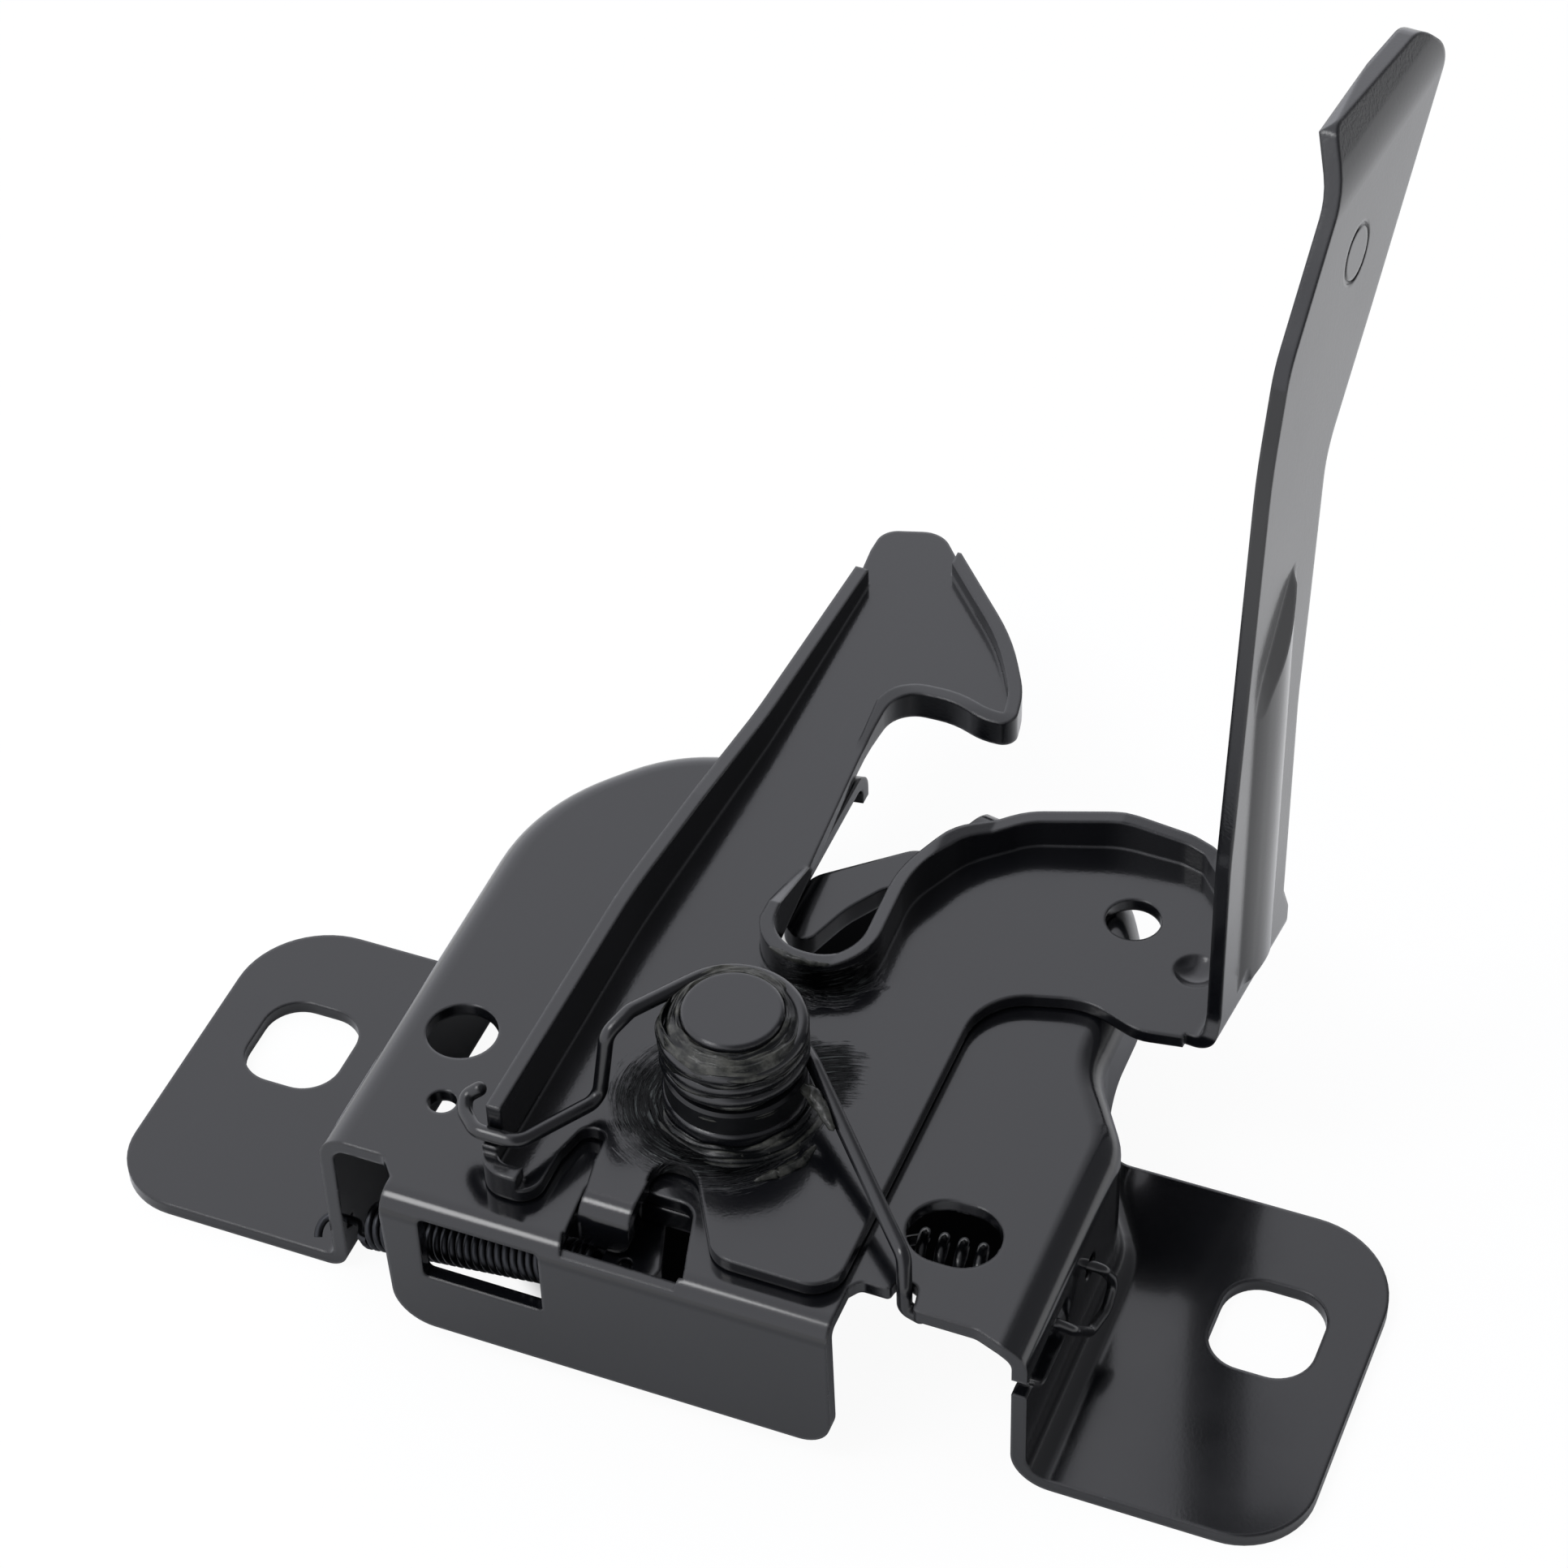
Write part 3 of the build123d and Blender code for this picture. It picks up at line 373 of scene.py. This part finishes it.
finishes = {
    "base_plate": dipCoat,
    "safety_catch": greasedCoat,
    "pivot_stud": studCoat,
    "catch_bush": studCoat,
    "spring_collar": nylon,
    "torsion_spring": wireCoat,
    "closing_spring": wireCoat,
    "primary_catch": dipCoat,
    "release_lever": dipCoat,
    "lever_rivet": studCoat,
    "lever_spring": springSteel,
}
for nodeName, obj in nodes.items():
    obj.data.materials.clear()
    obj.data.materials.append(finishes.get(nodeName, plainSteel))
print("materials made and set on the pressed, turned and wound pieces")


def addToScene(name, data):
    obj = bpy.data.objects.new(name, data)
    bpy.context.scene.collection.objects.link(obj)
    return obj


leverSpring = {
    "wire": 1.4,
    "outer": 8.4,
    "pitch": 1.07,  # turn to turn, in wire diameters
    "wallEnd": (-60.0, -31.0, 9.5),
    "leverEnd": (-11.5, -35.2, 22.0),
    "free": 6.5,
    "anchor": (-6.5, -35.0),
    "leverUnder": 22.0,
    "leverTop": 25.0,
    "around": 12,
    "alongTurn": 24,
}


def coilTree():
    tree = bpy.data.node_groups.new("wound wire", "GeometryNodeTree")
    face = tree.interface
    face.new_socket("Geometry", in_out="OUTPUT", socket_type="NodeSocketGeometry")
    for label in ("Turns", "Radius", "Length", "Wire"):
        face.new_socket(label, in_out="INPUT", socket_type="NodeSocketFloat")
    face.new_socket("Material", in_out="INPUT", socket_type="NodeSocketMaterial")
    given = addNode(tree, "NodeGroupInput").node.outputs
    spiral = addNode(tree, "GeometryNodeCurveSpiral", None, {
        "Resolution": leverSpring["alongTurn"], "Rotations": given["Turns"], "Start Radius": given["Radius"],
        "End Radius": given["Radius"], "Height": given["Length"]}, "Curve")
    ring = addNode(tree, "GeometryNodeCurvePrimitiveCircle", None, {
        "Resolution": leverSpring["around"], "Radius": given["Wire"]}, "Curve")
    tube = addNode(tree, "GeometryNodeCurveToMesh", None, {
        "Curve": spiral, "Profile Curve": ring, "Fill Caps": True}, "Mesh")
    smooth = addNode(tree, "GeometryNodeSetShadeSmooth", None, {"Geometry": tube}, "Geometry")
    real = addNode(tree, "GeometryNodeRealizeInstances", None, {"Geometry": smooth}, "Geometry")
    done = addNode(tree, "GeometryNodeSetMaterial", None, {"Geometry": real, "Material": given["Material"]})
    addNode(tree, "NodeGroupOutput", None, {"Geometry": done})
    return tree


def plainMesh(obj, name):
    # turns the evaluated object into a mesh of its own
    bpy.context.view_layer.update()
    graph = bpy.context.evaluated_depsgraph_get()
    mesh = bpy.data.meshes.new_from_object(obj.evaluated_get(graph))
    bpy.data.objects.remove(obj)
    return addToScene(name, mesh)


def treeObject(name, tree, values):
    holder = addToScene(name, bpy.data.meshes.new(name))
    modifier = holder.modifiers.new("shape", "NODES")
    modifier.node_group = tree
    for item in tree.interface.items_tree:
        if item.in_out == "INPUT" and item.name in values:
            modifier[item.identifier] = values[item.name]
    return plainMesh(holder, name)


def smoothAll(mesh):
    for polygon in mesh.polygons:
        polygon.use_smooth = True


def wireObject(name, points, radius, material):
    # round wire through points in millimetres, bends rounded by a smooth spline
    data = bpy.data.curves.new(name, "CURVE")
    data.dimensions = "3D"
    data.bevel_depth = radius * mm
    data.bevel_resolution = 4
    data.resolution_u = 10
    data.use_fill_caps = True
    spline = data.splines.new("NURBS")
    spline.points.add(len(points) - 1)
    for point, place in zip(spline.points, points):
        point.co = (*[c * mm for c in place], 1)
    spline.order_u = 3
    spline.use_endpoint_u = True
    made = plainMesh(addToScene(name, data), name)
    made.data.materials.clear()
    made.data.materials.append(material)
    smoothAll(made.data)
    return made


def join(parts, name):
    # one mesh from several, all of them at the origin
    whole = parts[0]
    with bpy.context.temp_override(
            active_object=whole, selected_editable_objects=parts, selected_objects=parts):
        bpy.ops.object.join()
    whole.name = name
    return whole


def makeLeverSpring(s):
    wire = s["wire"] / 2
    mean = s["outer"] / 2 - wire
    wall = Vector(s["wallEnd"])
    stop = Vector(s["leverEnd"])
    along = (stop - wall).normalized()
    start = wall + along * s["free"]
    length = (stop - start).length
    turns = round(length / (s["wire"] * s["pitch"]))
    coil = treeObject("lever_spring_coil", coilTree(), {
        "Turns": float(turns), "Radius": mean * mm, "Length": length * mm, "Wire": wire * mm,
        "Material": springSteel})
    side = along.cross(Vector((0, 0, 1))).normalized()
    up = side.cross(along)
    place = Matrix((side, up, along)).transposed().to_4x4()
    place.translation = start * mm
    coil.data.transform(place)
    first = start + side * mean
    last = stop + side * mean
    below = s["leverUnder"] - wire - 0.3
    ax, ay = s["anchor"]
    hook = wireObject("lever_spring_hook", [
        last - along * 0.8, last + along * 0.8, stop + along * 1.8 + side * 1.0, stop + along * 3.2,
        (ax - 2.4, ay, below - 0.7), (ax - 0.4, ay, below - 0.4),
        (ax, ay, below + 0.8), (ax, ay, s["leverTop"] - 0.5),
    ], wire, springSteel)
    tail = wireObject("lever_spring_tail", [
        first + along * 0.8, first - along * 0.8, start - along * 1.8 + side * 1.0, start - along * 3.4,
        wall, wall + Vector((-2.4, 0, 0)),
        wall + Vector((-3.6, -2.0, -1.4)), wall + Vector((-3.2, -3.2, -2.6)),
    ], wire, springSteel)
    spring = join([coil, hook, tail], "lever_spring_wire")
    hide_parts("lever_spring")
    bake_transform(spring)


makeLeverSpring(leverSpring)
print("lever spring wound")


# Springs with one end on the base and one on a lever: each wound wire is copied as one merged, smooth mesh
heldSprings = [
    # node, the body that its far end is hooked to, where it starts to follow, where it follows fully
    ("torsion_spring", "safety_hook", (7.5, -3.5, 48.0), (-8.0, -3.5, 48.0)),
    ("closing_spring", "primary_hook", (54.0, -12.0, 19.2), (31.0, -12.5, 19.2)),
]


def wireCopy(nodeName):
    # the wound wire as one merged mesh, smooth but for its cut ends
    mesh = nodes[nodeName].data.copy()
    mesh.transform(nodes[nodeName].matrix_world)
    work = bmesh.new()
    work.from_mesh(mesh)
    bmesh.ops.remove_doubles(work, verts=work.verts, dist=0.001 * mm)
    work.to_mesh(mesh)
    work.free()
    smoothAll(mesh)
    mesh.set_sharp_from_angle(angle=math.radians(40))
    return addToScene(nodeName + "_wire", mesh)


for nodeName, body, start, end in heldSprings:
    spring = wireCopy(nodeName)
    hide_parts(nodeName)
    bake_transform(spring)


stud = {
    "centre": (0.0, -3.5),
    "plateTop": 35.5,
}


def ripple(x, y, z, size=1.0):
    return noise.noise(Vector((x, y, z)) / size)


def clamped(value):
    return max(0.0, min(1.0, value))


def greaseMesh(name, body, grid, thick):
    # grid is a list of closed rows of points in millimetres; faces join neighbours
    rows, columns = len(grid), len(grid[0])
    points = [[c * mm for c in p] for row in grid for p in row]
    faces = []
    for i in range(rows - 1):
        for j in range(columns):
            k = (j + 1) % columns
            faces.append((i * columns + j, i * columns + k, (i + 1) * columns + k, (i + 1) * columns + j))
    mesh = bpy.data.meshes.new(name)
    mesh.from_pydata(points, [], faces)
    layer = mesh.attributes.new("thick", "FLOAT", "POINT")
    layer.data.foreach_set("value", [t for row in thick for t in row])
    smoothAll(mesh)
    mesh.materials.append(grease)
    mesh.validate()
    obj = addToScene(name, mesh)
    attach(obj, body)


plateFilm = {
    "columns": 240,
    "rows": 34,
    "inner": 12.2,
    "reach": 15.0,
    "furtherOut": 2.4,
    "fullest": -0.9,  # the way in which the paste is heaped and spreads furthest, in radians
    "heap": 1.4,
    "least": 0.1,
    "sunk": 0.06,
    "lowest": -0.1,
    "highest": 1.1,
    "waves": 2.5,  # how fast the ripples change round the stud, and below it how fast they do outwards
    "strokes": 1.7,
    "blobs": 0.3,
    "seed": 7.0,
}


def plateSmear(name, body, s):
    # paste squeezed out at the foot of the collar, sunk under the plate where there is none
    cx, cy = stud["centre"]
    grid, thick = [], []
    for i in range(s["rows"]):
        row, film = [], []
        t = i / (s["rows"] - 1)
        for j in range(s["columns"]):
            angle = 2 * math.pi * j / s["columns"]
            x, y = math.cos(angle), math.sin(angle)
            toFull = math.cos(angle - s["fullest"])
            high = s["reach"] + s["furtherOut"] * toFull
            heap = s["heap"] * max(0.0, toFull) + s["least"]
            radius = s["inner"] + (high - s["inner"]) * t
            stroke = ripple(x * s["waves"] + s["seed"], y * s["waves"], radius * s["strokes"])
            blob = ripple(x * s["waves"], y * s["waves"] + s["seed"], radius * s["blobs"])
            height = (1 - t) ** 1.5 * (0.4 + 0.5 * stroke + 0.6 * blob) * heap - s["sunk"]
            height = max(s["lowest"], min(height, s["highest"]))
            row.append((cx + radius * x, cy + radius * y, stud["plateTop"] + height))
            film.append(clamped(0.3 + stroke))
        grid.append(row)
        thick.append(film)
    greaseMesh(name, body, grid, thick)


coilFilm = {
    "columns": 240,
    "rows": 76,
    "radius": 12.0,
    "low": 43.2,
    "high": 52.6,
    "depth": 0.7,
    "tuckedIn": 1.2,
    "patches": (1.6, 0.25),  # how fast they change round the coil, and upwards
    "streaks": (2.2, 1.9),
    "seed": 9.0,
}
collarFilm = dict(coilFilm, radius=11.35, low=38.4, high=42.4, depth=0.5, seed=12.0)


def wrapSmear(name, body, s):
    # paste combed round the turns, thickest on the upper ones
    cx, cy = stud["centre"]
    grid, thick = [], []
    last = s["rows"] - 1
    patchRound, patchUp = s["patches"]
    streakRound, streakUp = s["streaks"]
    for i in range(s["rows"]):
        t = i / last
        z = s["low"] + (s["high"] - s["low"]) * t
        rim = min(1.0, 6 * min(i, last - i) / last)
        row, film = [], []
        for j in range(s["columns"]):
            angle = 2 * math.pi * j / s["columns"]
            x, y = math.cos(angle), math.sin(angle)
            patch = ripple(x * patchRound + s["seed"], y * patchRound, z * patchUp)
            streak = ripple(x * streakRound, y * streakRound + s["seed"], z * streakUp)
            r = s["radius"] + s["depth"] * (patch + 0.6 * streak + 0.5 * (t - 0.5))
            r -= (1 - rim) * s["tuckedIn"]
            row.append((cx + r * x, cy + r * y, z))
            film.append(clamped(0.2 + streak + 0.4 * patch))
        grid.append(row)
        thick.append(film)
    greaseMesh(name, body, grid, thick)


studRing = {
    "columns": 260,
    "rows": 34,
    "inner": 8.2,
    "outer": 11.8,
    "stud": 54.4,
    "coil": 52.8,
    "swell": 0.8,
    "depth": 2.2,
    "lumps": (2.4, 2.0),  # how fast they change round the stud, and from the stud to the coil
    "streaks": (2.8, 8.0),
    "seed": 11.0,
    "gaps": [
        # where the paste is torn open, and half the width of that gap, in radians
        (3.35, 0.4),
        (0.5, 0.5),
    ],
}


def pasteRing(name, body, s):
    # paste that climbs from the top turn to the stud's edge, combed round, torn open on both sides
    cx, cy = stud["centre"]
    lumpRound, lumpOut = s["lumps"]
    streakRound, streakOut = s["streaks"]
    grid, thick = [], []
    for i in range(s["rows"]):
        t = i / (s["rows"] - 1)
        row, film = [], []
        for j in range(s["columns"]):
            angle = 2 * math.pi * j / s["columns"]
            x, y = math.cos(angle), math.sin(angle)
            radius = s["inner"] + (s["outer"] - s["inner"]) * t
            lump = ripple(x * lumpRound + s["seed"], y * lumpRound, t * lumpOut)
            streak = ripple(x * streakRound, y * streakRound + s["seed"], t * streakOut)
            torn = 0.0
            for at, wide in s["gaps"]:
                torn += math.exp(-(math.remainder(angle - at, 2 * math.pi) / wide) ** 2)
            height = s["swell"] * (0.8 * lump + 0.5 * streak) - 0.9 * (2 * t - 1) ** 6
            height -= s["depth"] * torn * t
            z = s["stud"] + (s["coil"] - s["stud"]) * t
            row.append((cx + radius * x, cy + radius * y, z + height))
            film.append(clamped(0.75 + lump + 0.8 * streak - 0.7 * torn))
        grid.append(row)
        thick.append(film)
    greaseMesh(name, body, grid, thick)


beads = {
    "sides": 14,
    "steps": 8,
    "lump": 0.45,
    "lumpSize": 1.4,
    "thick": 0.6,
    "tip": 0.02,
    "paths": [
        # name, body, points of (x, y, z, radius), seed
        ("grease_on_slot_foot", "safety_hook", [
            (-5.0, 23.0, 41.5, 0.3), (-1.0, 21.9, 41.7, 0.7),
            (3.0, 21.9, 41.5, 0.5), (6.0, 22.8, 41.4, 0.25),
        ], 2.0),
        ("grease_on_spring_leg", "base", [
            (12.4, -5.6, 43.8, 0.8), (14.6, -6.4, 43.6, 1.3),
            (17.0, -8.4, 43.0, 1.0), (20.0, -11.2, 42.0, 0.5),
        ], 3.0),
        ("grease_beside_collar", "safety_hook", [
            (16.2, -9.6, 35.6, 0.3), (15.6, -13.6, 35.6, 0.8),
            (12.8, -17.3, 35.6, 0.9), (9.8, -20.2, 35.6, 0.35),
        ], 4.0),
    ],
}


def bead(name, body, path, seed):
    # a ragged lump of paste along a short path
    centres = []
    for a, b in zip(path[:-1], path[1:]):
        for k in range(beads["steps"]):
            t = k / beads["steps"]
            centres.append([a[i] + (b[i] - a[i]) * t for i in range(4)])
    centres.append(list(path[-1]))
    grid, thick = [], []
    for i, (x, y, z, radius) in enumerate(centres):
        before = Vector(centres[max(i - 1, 0)][:3])
        after = Vector(centres[min(i + 1, len(centres) - 1)][:3])
        along = (after - before).normalized()
        side = along.orthogonal().normalized()
        up = along.cross(side)
        end = beads["tip"] if i in (0, len(centres) - 1) else 1.0
        row = []
        for j in range(beads["sides"]):
            angle = 2 * math.pi * j / beads["sides"]
            lump = ripple(x + 3 * math.cos(angle), y + 3 * math.sin(angle), z + seed, beads["lumpSize"])
            r = radius * (1 + beads["lump"] * lump) * end
            row.append(tuple(Vector((x, y, z)) + side * (r * math.cos(angle)) + up * (r * math.sin(angle))))
        grid.append(row)
        thick.append([beads["thick"]] * beads["sides"])
    greaseMesh(name, body, grid, thick)


plateSmear("grease_film_on_catch", "safety_hook", plateFilm)
wrapSmear("grease_in_coil", "base", coilFilm)
pasteRing("grease_round_stud", "base", studRing)
wrapSmear("grease_on_collar", "base", collarFilm)
for name, body, path, seed in beads["paths"]:
    bead(name, body, path, seed)
print("grease laid")


studio = {
    "floorHalf": 3.0,
    "floorLevel": -0.0001,
    "floorColor": "#e4e5e6",
    "tentColor": "#ecedf4",
    "tentStrength": 1.12,
    "flagStrength": 0.22,
    "flagSide": (0.9, 0.0, 0.43),
    "flagFrom": 0.10,
    "flagTo": 0.58,
    "paperStrength": 1.07,
    "mirror": 0.45,
    "shade": 0.12,
    # patches of painted shade: the paper under the latch's openings is coloured this dark grey
    "paintedShadeColor": "#1c1c1d",
    "paintedShadePatches": [
        # centre, where the shade starts to lift, where it is gone
        ((-0.0168, -0.012), 0.0125, 0.021),
        ((0.033, 0.008), 0.0095, 0.0155),
        ((-0.0094, 0.0678), 0.0075, 0.015),
    ],
    "nearIn": 0.085,
    "nearOut": 0.160,
    "softboxes": [
        # place, aim, side, watts
        ((-0.38, -0.38, 0.90), (0.0, 0.0, 0.03), 0.30, 1.4),
    ],
}


def distanceFrom(tree, place, centre):
    offset = addNode(tree, "ShaderNodeVectorMath", {"operation": "SUBTRACT"}, {0: place, 1: (*centre, 0)})
    return addNode(tree, "ShaderNodeVectorMath", {"operation": "LENGTH"}, {0: offset}, "Value")


def makeFloor():
    # paper that burns out to white and keeps its own shade close round the latch; right under it the paper is
    # painted dark in patches, painted shade for the floor in the latch's shadow
    mat, tree = newMaterial("white_sweep")
    place = addNode(tree, "ShaderNodeTexCoord", out="Object")
    beside = 1.0
    for centre, near, far in studio["paintedShadePatches"]:
        lifted = addNode(tree, "ShaderNodeMapRange", {"interpolation_type": "SMOOTHSTEP"}, {
            "Value": distanceFrom(tree, place, centre), "From Min": near, "From Max": far})
        beside = addNode(tree, "ShaderNodeMath", {"operation": "MINIMUM"}, {0: beside, 1: lifted})
    rays = addNode(tree, "ShaderNodeLightPath").node.outputs
    direct = addNode(tree, "ShaderNodeMath", {"operation": "MAXIMUM"}, {
        0: rays["Is Camera Ray"], 1: rays["Is Transmission Ray"]})
    direct = addNode(tree, "ShaderNodeMath", {"operation": "MULTIPLY"}, {0: direct, 1: beside})
    direct = addNode(tree, "ShaderNodeMath", {"operation": "MULTIPLY"}, {0: direct, 1: 1 - studio["shade"]})
    # mirrored in the coat, the paper is pale only further out
    further = addNode(tree, "ShaderNodeMapRange", {"interpolation_type": "SMOOTHSTEP"}, {
        "Value": distanceFrom(tree, place, (0, 0)),
        "From Min": studio["nearIn"], "From Max": studio["nearOut"]})
    mirrored = addNode(tree, "ShaderNodeMath", {"operation": "MULTIPLY"}, {0: further, 1: studio["mirror"]})
    mirrored = addNode(tree, "ShaderNodeMath", {"operation": "MULTIPLY"}, {
        0: rays["Is Glossy Ray"], 1: mirrored})
    burnt = addNode(tree, "ShaderNodeMath", {"operation": "MAXIMUM"}, {0: direct, 1: mirrored})
    # inside the patches the paper takes the painted shade colour
    tone = addNode(tree, "ShaderNodeMix", {"data_type": "RGBA"}, {
        0: beside, 6: linear(studio["paintedShadeColor"]), 7: linear(studio["floorColor"])}, 2)
    paper = addNode(tree, "ShaderNodeBsdfDiffuse", None, {"Color": tone})
    white = addNode(tree, "ShaderNodeEmission", None, {
        "Color": (1, 1, 1, 1), "Strength": studio["paperStrength"]})
    upper = addNode(tree, "ShaderNodeMixShader", None, {0: burnt, 1: paper, 2: white})
    # seen from below the sheet is clear, so that the levers under the deck can be looked at
    under = addNode(tree, "ShaderNodeNewGeometry", out="Backfacing")
    clear = addNode(tree, "ShaderNodeBsdfTransparent")
    sheet = addNode(tree, "ShaderNodeMixShader", None, {0: under, 1: upper, 2: clear})
    addNode(tree, "ShaderNodeOutputMaterial", None, {"Surface": sheet})
    half, level = studio["floorHalf"], studio["floorLevel"]
    corners = [(-half, -half, level), (half, -half, level), (half, half, level), (-half, half, level)]
    mesh = bpy.data.meshes.new("studio_floor")
    mesh.from_pydata(corners, [], [(0, 1, 2, 3)])
    mesh.materials.append(mat)
    addToScene("studio_floor", mesh)


def makeWorld():
    world = bpy.data.worlds.new("white_tent")
    world.use_nodes = True
    tree = world.node_tree
    tree.nodes.clear()
    rays = addNode(tree, "ShaderNodeLightPath").node.outputs
    level = addNode(tree, "ShaderNodeMath", {"operation": "MAXIMUM"}, {
        0: rays["Is Camera Ray"], 1: rays["Is Transmission Ray"]})
    # the tent is bright from the left and falls off to a dark flag up on the right
    direction = addNode(tree, "ShaderNodeTexCoord", out="Generated")
    turned = addNode(tree, "ShaderNodeVectorMath", {"operation": "DOT_PRODUCT"}, {
        0: direction, 1: studio["flagSide"]}, "Value")
    tent = addNode(tree, "ShaderNodeMapRange", {"interpolation_type": "SMOOTHSTEP"}, {
        "Value": turned, "From Min": studio["flagFrom"], "From Max": studio["flagTo"],
        "To Min": studio["tentStrength"], "To Max": studio["flagStrength"]})
    color = addNode(tree, "ShaderNodeMix", {"data_type": "RGBA"}, {
        0: level, 6: linear(studio["tentColor"]), 7: (1, 1, 1, 1)}, 2)
    strength = addNode(tree, "ShaderNodeMix", {"data_type": "FLOAT"}, {0: level, 2: tent, 3: 1.0})
    back = addNode(tree, "ShaderNodeBackground", None, {"Color": color, "Strength": strength})
    addNode(tree, "ShaderNodeOutputWorld", None, {"Surface": back})
    bpy.context.scene.world = world


def makeSoftbox(name, place, aim, side, watts):
    data = bpy.data.lights.new(name, "AREA")
    data.shape = "SQUARE"
    data.size = side
    data.energy = watts
    lamp = addToScene(name, data)
    lamp.location = place
    lamp.rotation_euler = (Vector(aim) - Vector(place)).to_track_quat("-Z", "Y").to_euler()


view = {
    "place": (0.19410, -0.42792, 0.55414),
    "right": (0.92729, 0.37340, -0.02672),
    "up": (-0.24164, 0.65152, 0.71913),
    "back": (0.28593, -0.66038, 0.69437),
    "lens": 99.16,
    "sensor": 36.0,
}


def makeCamera():
    data = bpy.data.cameras.new("photo_view")
    data.lens = view["lens"]
    data.sensor_width = view["sensor"]
    camera = addToScene("photo_view", data)
    turn = Matrix((view["right"], view["up"], view["back"])).transposed().to_4x4()
    camera.matrix_world = Matrix.Translation(view["place"]) @ turn
    bpy.context.scene.camera = camera


makeFloor()
makeWorld()
for number, box in enumerate(studio["softboxes"]):
    makeSoftbox("softbox_" + str(number), *box)
makeCamera()
bpy.context.scene.view_settings.view_transform = "Standard"
print("floor, light and camera set")
